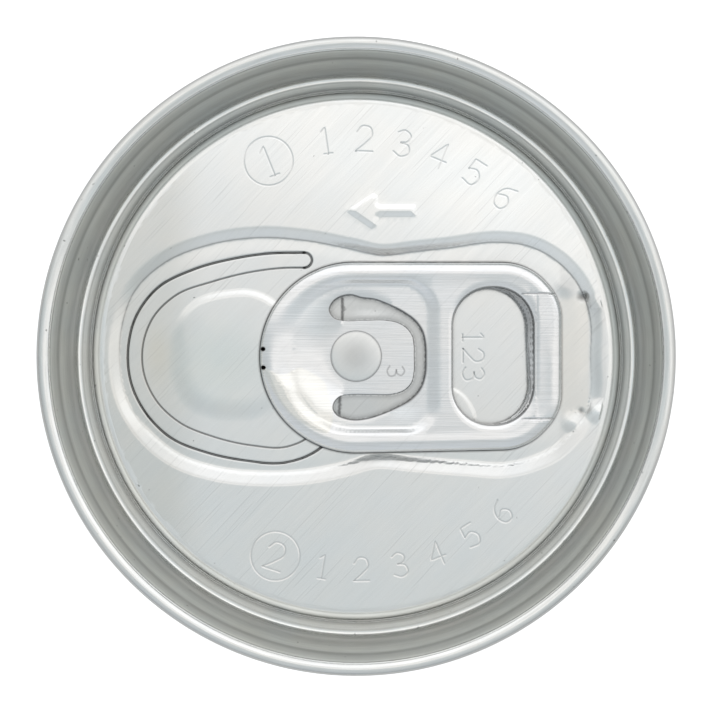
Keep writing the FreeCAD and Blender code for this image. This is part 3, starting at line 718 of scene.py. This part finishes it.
def tab_painted_light(points):
    """Painted shade along the tab's edge, openings, folds, slits and digit, a painted cream tint of the glare
    on the nose, and painted highlights on the pan.
    """
    edge = np.maximum(-outside_by(points, TAB_OUTLINE), 0)
    # painted shade along the tab's outer edge
    kept = 0.66 + 0.34 * smooth((edge - 0.01) / 0.08)
    # painted shade round the void, lighter on the rivet's island
    void = outside_by(points, VOID, 1.5)
    thick = 0.13 + 0.1 * smooth((points[:, 0] - 2.0) / 3.0)
    rim = np.where(inside(points, ISLAND), 0.6 + 0.4 * smooth(void / 0.1), 0.15 + 0.85 * smooth(void / thick))
    kept *= np.where(void < 1.5, rim, 1.0)
    # painted shade in the finger hole's inner wall and along its edge
    hole = outside_by(points, FINGER_HOLE, 1.5)
    kept *= np.where(hole < 0, 0.82 - 0.3 * smooth(points[:, 1] / 4.0), 0.3 + 0.7 * smooth(hole / 0.14))
    # painted shade round the rivet's head
    around_rivet = np.abs(np.linalg.norm(points, axis=1) - 2.2)
    kept *= line_tone(around_rivet, 0.05, 0.4)
    # painted shade in the heel's folds and at the bar's edge
    for side in (-1, 1):
        fold = np.abs(points[:, 1] * side - HEEL_HALF)
        kept *= 1 - (1 - line_tone(fold, 0.06, 0.55)) * ((points[:, 0] > FOLD_START) & (points[:, 0] < 17.3))
    bar_edge = np.abs(points[:, 0] - HEEL_START)
    kept *= 1 - (1 - line_tone(bar_edge, 0.07, 0.93)) * (np.abs(points[:, 1]) < HEEL_HALF)
    # painted shade in the nose's slits and the digit's strokes
    for centre in NOSE_SLITS:
        kept *= 1 - 0.95 * (1 - smooth(np.linalg.norm(points - np.array(centre), axis=1) / 0.24 - 0.3))
    for stroke in TAB_DIGIT:
        kept *= line_tone(away_from(points, stroke, 0.5), 0.06, 0.6)
    tone = darkened(kept)
    # a painted cream tint of the glare on the nose
    painted_glare_tint = smooth(-outside_by(points, GLARE) / 0.2)
    tone *= 1 - painted_glare_tint[:, None] * np.array((0.0, 0.015, 0.06))
    # painted highlights on the pan, to the south-east and north-west
    tone *= 1 + spot(points, (3.9, -4.9), 2.2, 1.2)[:, None] * np.array((0.13, 0.14, 0.15))
    tone *= 1 + 0.13 * spot(points, (-3.9, 3.9), 3.0, 2.6)[:, None]
    return tone


def between_out(points):
    """Share of the way from the finger hole's edge (0) out to the end of its rounding (1)."""
    from_hole = np.maximum(outside_by(points, FINGER_HOLE), 0)
    from_round = -outside_by(points, HOLE_ROUND)
    share = from_hole / np.maximum(from_hole + from_round, 1e-6)
    return np.where(from_round <= 0, 1.0, np.clip(share, 0, 1))


def tab_bottom(points):
    """Height of the tab's underside."""
    top = tab_top(points)
    edge = np.maximum(-outside_by(points, TAB_OUTLINE), 0)
    hem = TAB_TOP - TAB_THICK + edge_round(edge, EDGE_WIDE, EDGE_TALL)
    open_side = smooth((edge - 1.2) / 0.25)
    hole_hem = TAB_TOP - 0.95 + edge_round(np.maximum(outside_by(points, FINGER_HOLE), 0), 0.6, 0.2)
    near_hole = smooth((outside_by(points, FINGER_HOLE) - 0.6) / 0.25)
    web = top - TAB_SHEET
    web = np.minimum(web, np.where(near_hole < 1, hole_hem + (web - hole_hem) * near_hole, web))
    return np.minimum(hem + (web - hem) * open_side, top - 0.02)


def make_tab():
    contours = Contours()
    for loop in (TAB_OUTLINE, HOLE_INNER, VOID):
        contours.add(loop)
    for share in (0.006, 0.02, 0.045, 0.09, 0.13, 0.17, 0.25, 0.36, 0.5, 0.68, 0.85, 1.0, 1.15):
        contours.add(shifted(TAB_OUTLINE, -EDGE_WIDE * share))
    contours.add(PAN_TOP)
    contours.add(PAN_FLOOR)
    upper = resample_even(PAN_TOP, 400)
    lower = resample_even(PAN_FLOOR, 400)
    for share in (0.17, 0.35, 0.7, 0.85):
        contours.add(upper + (lower - upper) * share)
    for offset in (-0.4, -0.25, -0.12, 0.0, 0.03, 0.08, 0.14, 0.22, 0.34, 0.5, 0.65):
        contours.add(shifted(FINGER_HOLE, offset))
    contours.add(HOLE_ROUND)
    for offset in (0.06, 0.12, 0.2, 0.3, 0.42):
        contours.add(shifted(VOID, offset))
    for stroke in TAB_DIGIT:
        contours.add(stroke, closed=False)
        for width in (0.06, 0.12):
            contours.add(around(stroke, width, 4))
    for radius in (2.08, 2.14, 2.2, 2.26, 2.32):
        contours.add(circle((0, 0), radius, 64))
    for offset in (0.0, -0.1, -0.24, -0.8, -1.4, -2.0):
        contours.add(shifted(GLARE, offset))
    for level in (-0.12, -0.06, 0.0, 0.06, 0.12):
        for side in (-1, 1):
            line = np.array([(14.3, side * (HEEL_HALF + level)), (17.6, side * (HEEL_HALF + level))])
            contours.add(resample(line, 0.2, False), closed=False)
        line = np.array([(HEEL_START + level + 0.12, -HEEL_HALF), (HEEL_START + level + 0.12, HEEL_HALF)])
        contours.add(resample(line, 0.2, False), closed=False)
    for centre in NOSE_SLITS:
        for radius in (0.06, 0.12, 0.18, 0.24, 0.3, 0.4):
            contours.add(circle(centre, radius, 16))
    contours.scatter((-8.2, -8.4), (17.6, 8.2), 0.35)
    flat, faces = sheet_faces(contours, TAB_OUTLINE, (HOLE_INNER, VOID))
    used = np.unique(faces)
    renumber = np.full(len(flat), -1)
    renumber[used] = np.arange(len(used))
    flat, faces = flat[used], renumber[faces]
    upper = tab_top(flat)
    lower = tab_bottom(flat)
    border = np.minimum(np.abs(outside_by(flat, TAB_OUTLINE)), np.abs(outside_by(flat, HOLE_INNER)))
    border = np.minimum(border, np.abs(outside_by(flat, VOID))) < 1e-4
    middle = (upper + lower) / 2
    upper = np.where(border, middle, upper)
    lower = np.where(border, middle, lower)
    tone = tab_painted_light(flat)
    top = (np.column_stack([flat, upper]), faces, tone, 0)
    bottom = (np.column_stack([flat, lower]), faces[:, ::-1], tone, 0)
    return build("pull_tab", [top, bottom])


def resample_even(loop, count):
    """The outline at evenly spread shares of its length, from the point furthest to -X."""
    loop = np.roll(loop, -int(np.argmin(loop[:, 0])), axis=0)
    closed = np.vstack([loop, loop[:1]])
    lengths = np.r_[0, np.cumsum(np.linalg.norm(np.diff(closed, axis=0), axis=1))]
    places = np.linspace(0, lengths[-1], count, endpoint=False)
    return np.column_stack([np.interp(places, lengths, closed[:, axis]) for axis in (0, 1)])


def make_rivet():
    head = 2.17
    foot = ISLAND_TOP - 0.1
    top = ISLAND_TOP + 0.3
    # the tones paint shade on the head's foot and side, a light rim and a darker middle on its top
    profile = [(0.0, foot, 0.6), (1.7, foot, 0.6), (head - 0.12, foot + 0.12, 0.5), (head, foot + 0.2, 0.45)]
    profile += [(head, top - 0.06, 0.4)]
    corner = profile_arc((head - 0.06, top - 0.06), 0.06, 15, 80, 5)
    profile += [(radius, height, 0.75) for radius, height in corner]
    profile += [(head - 0.14, top + 0.01, 0.95), (1.6, top + 0.03, 0.93), (1.2, top + 0.04, 0.88),
                (0.7, top + 0.05, 0.8), (0.0, top + 0.055, 0.77)]
    return build("rivet_head", [lathe(profile, segments=96)])


# ---------------------------------------------------------------- the drawn body

def make_body():
    low = -SEAM_TOP
    shoulder = -11.2
    neck = SEAM_RADIUS - 0.8
    dome_top = low + 10.0
    dome_round = 48.0
    dome_wide = 21.3
    chime_round = 8.48
    steps = 24
    profile = [(0.0, dome_top)]
    for number in range(1, steps + 1):
        radius = dome_wide * number / steps
        profile.append((radius, dome_top - dome_round + math.sqrt(dome_round ** 2 - radius ** 2)))
    profile += [(21.55, low + 4.4), (21.68, low + 3.6), (21.72, low + 2.4)]
    profile += profile_arc((22.9, low + 1.2), 1.18, 180, 268, 8)
    profile += profile_arc((23.5, low + 1.2), 1.2, 270, 320, 8)
    profile += profile_arc((BODY_RADIUS - chime_round, low + 8.4), chime_round, -56, 0, 22)
    height = low + 10.0
    while height < shoulder - 1.0:
        profile.append((BODY_RADIUS, height))
        height += 6.0
    profile.append((BODY_RADIUS, shoulder))
    reach = BODY_RADIUS - neck
    rise = -2.5 - 1.6 - shoulder
    for number in range(1, steps + 1):
        share = number / steps
        profile.append((BODY_RADIUS - reach * float(smooth(share)), shoulder + rise * share))
    profile += [(neck, -3.6), (neck, -3.0), (neck + 0.02, -2.56)]
    profile += [(25.8, -2.56), (24.6, -7.4), (0.0, -7.4)]
    return build("can_shell", [lathe(profile)])


# ---------------------------------------------------------------- materials

BUMP_DEPTH = 0.00001  # metres


def nodes_of(name):
    """A new material with a principled shader: the material, its tree and the shader."""
    material = bpy.data.materials.new(name)
    material.use_nodes = True
    tree = material.node_tree
    tree.nodes.clear()
    shader = tree.nodes.new("ShaderNodeBsdfPrincipled")
    output = tree.nodes.new("ShaderNodeOutputMaterial")
    tree.links.new(shader.outputs["BSDF"], output.inputs["Surface"])
    return material, tree, shader


def node(tree, kind, inputs=(), **settings):
    """A new shader node whose inputs are set to a value or linked to a socket."""
    made = tree.nodes.new("ShaderNode" + kind)
    for name, value in settings.items():
        setattr(made, name, value)
    for name, value in dict(inputs).items():
        if isinstance(value, bpy.types.NodeSocket):
            tree.links.new(value, made.inputs[name])
        else:
            made.inputs[name].default_value = value
    return made


def math_node(tree, operation, *values):
    return node(tree, "Math", enumerate(values), operation=operation).outputs["Value"]


def grain(tree, turn, stretch, detail):
    """Noise drawn out into fine streaks that run at an angle of turn degrees from +X."""
    place = node(tree, "TexCoord").outputs["Object"]
    turned = node(tree, "Mapping", {"Vector": place, "Rotation": (0, 0, math.radians(-turn))})
    scaled = node(tree, "Mapping", {"Vector": turned.outputs["Vector"], "Scale": stretch})
    noise = node(tree, "TexNoise", {
        "Vector": scaled.outputs["Vector"], "Scale": 1.0, "Detail": detail, "Roughness": 0.6})
    return noise.outputs["Fac"]


def noise_at(tree, vector, size, detail=2.0):
    noise = node(tree, "TexNoise", {"Vector": vector, "Scale": size, "Detail": detail})
    return noise.outputs["Fac"]


def remap(tree, value, low, high, to_low, to_high):
    made = node(tree, "MapRange", {
        "Value": value, "From Min": low, "From Max": high, "To Min": to_low, "To Max": to_high})
    return made.outputs["Result"]


def mix_colour(tree, share, first, second):
    made = node(tree, "Mix", {"Factor": share, "A": (*first, 1), "B": (*second, 1)}, data_type="RGBA")
    return made.outputs["Result"]


def multiply(tree, first, second):
    made = node(tree, "Mix", {"Factor": 1.0, "A": first, "B": second},
                data_type="RGBA", blend_type="MULTIPLY")
    return made.outputs["Result"]


def bump(tree, value, strength, before=()):
    """A bumped normal whose height is value, laid over the one before."""
    inputs = {"Height": value, "Strength": strength, "Distance": BUMP_DEPTH, **dict(before)}
    return node(tree, "Bump", inputs).outputs["Normal"]


def ring_place(tree, along, across):
    """Coordinates that run round the can's axis, for marks left by turning or ironing."""
    place = node(tree, "TexCoord").outputs["Object"]
    split = node(tree, "SeparateXYZ", {"Vector": place})
    flat = node(tree, "VectorMath", {0: place, 1: (1, 1, 0)}, operation="MULTIPLY")
    reach = node(tree, "VectorMath", {0: flat.outputs["Vector"]}, operation="LENGTH")
    bearing = math_node(tree, "ARCTAN2", split.outputs["Y"], split.outputs["X"])
    joined = node(tree, "CombineXYZ", {
        "X": math_node(tree, "MULTIPLY", bearing, along),
        "Y": math_node(tree, "MULTIPLY", reach.outputs["Value"], across),
        "Z": math_node(tree, "MULTIPLY", split.outputs["Z"], across)})
    return joined.outputs["Vector"]


def finish_metal(material, tree, shader, base, fine, broad, rough, strength, speck, contrast,
                 scratched=0.0):
    """Grain, specks, painted tones (stains and tints, with painted shade and painted highlights) and
    roughness, shared by every bare metal here.

    speck is how high the noise must be for a dark speck, contrast how dark the grain's lines are,
    and scratched how dark the few long scratches are.
    """
    shader.inputs["Metallic"].default_value = 1.0
    place = node(tree, "TexCoord").outputs["Object"]
    shade = tuple(channel * (1 - contrast) for channel in base)
    colour = mix_colour(tree, remap(tree, fine, 0.32, 0.68, 0, 1), shade, base)
    spots = noise_at(tree, place, 2100, 1.0)
    dark = tuple(channel * 0.6 for channel in base)
    marks = mix_colour(tree, remap(tree, spots, speck, speck + 0.03, 0, 1), (1, 1, 1), dark)
    if scratched:
        scratches = grain(tree, 47, (150, 7000, 150), 0.0)
        faded = (1 - scratched,) * 3
        scratch = mix_colour(tree, remap(tree, scratches, 0.71, 0.76, 0, 1), (1, 1, 1), faded)
        marks = multiply(tree, marks, scratch)
    clouds = noise_at(tree, place, 260, 3.0)
    cloud = mix_colour(tree, remap(tree, clouds, 0.35, 0.65, 0, 1),
                       (0.975, 0.985, 0.99), (1.0, 0.995, 0.985))
    # each point's tone: stains and tints, with painted shade and painted highlights
    tone = node(tree, "Attribute", attribute_name="tone").outputs["Color"]
    for layer in (marks, cloud, tone):
        colour = multiply(tree, colour, layer)
    tree.links.new(colour, shader.inputs["Base Color"])
    tree.links.new(remap(tree, broad, 0.3, 0.7, rough - 0.04, rough + 0.05), shader.inputs["Roughness"])
    broad_bump = bump(tree, broad, strength * 0.5)
    normal = bump(tree, fine, strength, {"Normal": broad_bump})
    tree.links.new(normal, shader.inputs["Normal"])
    return material


def rolled_metal(name, base, rough, turn, strength, speck, contrast, scratched):
    """Bare sheet whose rolling grain runs at turn degrees from +X."""
    material, tree, shader = nodes_of(name)
    fine = grain(tree, turn, (250, 9000, 250), 3.0)
    broad = grain(tree, turn, (90, 2200, 90), 2.0)
    return finish_metal(
        material, tree, shader, base, fine, broad, rough, strength, speck, contrast, scratched)


def turned_metal(name, base, rough, along, across, strength, speck, contrast=0.08):
    """Bare metal with fine marks that run round the axis, or up it where across is small."""
    material, tree, shader = nodes_of(name)
    place = ring_place(tree, along, across)
    fine = noise_at(tree, place, 1.0, 3.0)
    broad = noise_at(tree, place, 0.3, 2.0)
    return finish_metal(material, tree, shader, base, fine, broad, rough, strength, speck, contrast)


LID_METAL = rolled_metal("lid_metal", (0.86, 0.866, 0.862), rough=0.2, turn=45, strength=0.4,
                         speck=0.8, contrast=0.035, scratched=0.075)
RIM_METAL = turned_metal("lid_rim_metal", (0.86, 0.865, 0.855), rough=0.2, along=12, across=5000,
                         strength=0.3, speck=0.76)
WALL_METAL = turned_metal("chuck_wall_metal", (0.84, 0.848, 0.82), rough=0.42, along=9, across=4000,
                          strength=0.4, speck=0.78)
TAB_METAL = rolled_metal("tab_metal", (0.87, 0.875, 0.885), rough=0.2, turn=0, strength=0.7,
                         speck=0.82, contrast=0.1, scratched=0.04)
BODY_METAL = turned_metal("body_metal", (0.72, 0.727, 0.733), rough=0.26, along=700, across=60,
                          strength=0.16, speck=0.8, contrast=0.1)

PIECES = (
    (make_lid(), "can_end", "lid_metal", (LID_METAL, RIM_METAL, WALL_METAL)),
    (make_rivet(), None, "lid_metal", (LID_METAL,)),
    (make_tab(), "tab", "tab_metal", (TAB_METAL,)),
    (make_body(), "can_body", "body_metal", (BODY_METAL,)))
for piece, cad_node, slot, finishes in PIECES:
    for finish in finishes:
        piece.data.materials.append(finish)
    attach(piece, "root")
    if cad_node:
        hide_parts(cad_node)


# ---------------------------------------------------------------- floor, light and camera

def make_floor():
    """The stage: white to the camera, a little darker in metal, and clear from below."""
    size = 3.0
    data = bpy.data.meshes.new("floor")
    corners = [(-size, -size, 0), (size, -size, 0), (size, size, 0), (-size, size, 0)]
    data.from_pydata(corners, [], [(0, 1, 2, 3)])
    floor = bpy.data.objects.new("floor", data)
    bpy.context.scene.collection.objects.link(floor)
    material, tree, shader = nodes_of("floor_paint")
    shader.inputs["Base Color"].default_value = (0.86, 0.86, 0.86, 1)
    shader.inputs["Roughness"].default_value = 0.9
    shader.inputs["Emission Color"].default_value = (1, 1, 1, 1)
    path = node(tree, "LightPath").outputs
    mirrored = math_node(tree, "MAXIMUM", path["Is Glossy Ray"], path["Is Transmission Ray"])
    seen = math_node(tree, "MAXIMUM", path["Is Camera Ray"], mirrored)
    camera_glow = math_node(tree, "MULTIPLY", path["Is Camera Ray"], 0.2)
    glow = math_node(tree, "MULTIPLY_ADD", seen, 0.26, camera_glow)
    tree.links.new(glow, shader.inputs["Emission Strength"])
    from_below = node(tree, "NewGeometry").outputs["Backfacing"]
    clear = node(tree, "BsdfTransparent").outputs["BSDF"]
    either = node(tree, "MixShader", {"Fac": from_below, 1: shader.outputs["BSDF"], 2: clear})
    output = next(made for made in tree.nodes if made.type == "OUTPUT_MATERIAL")
    tree.links.new(either.outputs["Shader"], output.inputs["Surface"])
    data.materials.append(material)


def make_world():
    """Plain white to the camera. To all else, a soft ceiling, brightest towards +Y and a little +X,
    that pales towards the horizon."""
    world = bpy.data.worlds.new("surround")
    bpy.context.scene.world = world
    world.use_nodes = True
    tree = world.node_tree
    tree.nodes.clear()
    place = node(tree, "TexCoord").outputs["Generated"]
    toward = node(tree, "VectorMath", {0: place, 1: (0.36, 0.93, 0.0)}, operation="DOT_PRODUCT")
    share = math_node(tree, "MULTIPLY_ADD", toward.outputs["Value"], 0.5, 0.5)
    ramp = node(tree, "ValToRGB", {"Fac": share})
    stops = ((0.0, (0.68, 0.72, 0.75)), (0.12, (0.68, 0.72, 0.745)), (0.33, (0.61, 0.64, 0.65)),
             (0.44, (0.69, 0.735, 0.745)), (0.5, (0.79, 0.8, 0.8)), (0.57, (1.1, 1.09, 1.07)),
             (0.66, (0.93, 0.93, 0.92)), (0.76, (1.2, 1.2, 1.2)), (0.88, (1.3, 1.3, 1.3)),
             (1.0, (1.1, 1.1, 1.1)))
    elements = ramp.color_ramp.elements
    while len(elements) < len(stops):
        elements.new(0.5)
    for element, (position, colour) in zip(elements, stops):
        element.position = position
        element.color = (*colour, 1)
    height = node(tree, "SeparateXYZ", {"Vector": place}).outputs["Z"]
    horizon = remap(tree, height, 0.1, 0.3, 0.4, 0.0)
    white_share = math_node(tree, "MAXIMUM", node(tree, "LightPath").outputs["Is Camera Ray"], horizon)
    colour = node(tree, "Mix", {
        "Factor": white_share, "A": ramp.outputs["Color"], "B": (1, 1, 1, 1)}, data_type="RGBA")
    light = node(tree, "Background", {"Color": colour.outputs["Result"]})
    node(tree, "OutputWorld", {"Surface": light.outputs["Background"]})


def make_camera():
    """Straight above the lid, on the can's axis, with +Y at the top of the picture."""
    data = bpy.data.cameras.new("camera")
    camera = bpy.data.objects.new("camera", data)
    bpy.context.scene.collection.objects.link(camera)
    above = 140.0
    data.sensor_width = 36.0
    half_view = 29.97
    data.lens = data.sensor_width / 2 * above / half_view
    data.clip_start = 0.01
    data.clip_end = 10.0
    camera.location = (0.03 * MM, -0.025 * MM, (SEAM_TOP + above) * MM)
    bpy.context.scene.camera = camera


make_floor()
make_world()
make_camera()
bpy.context.scene.view_settings.view_transform = "Standard"
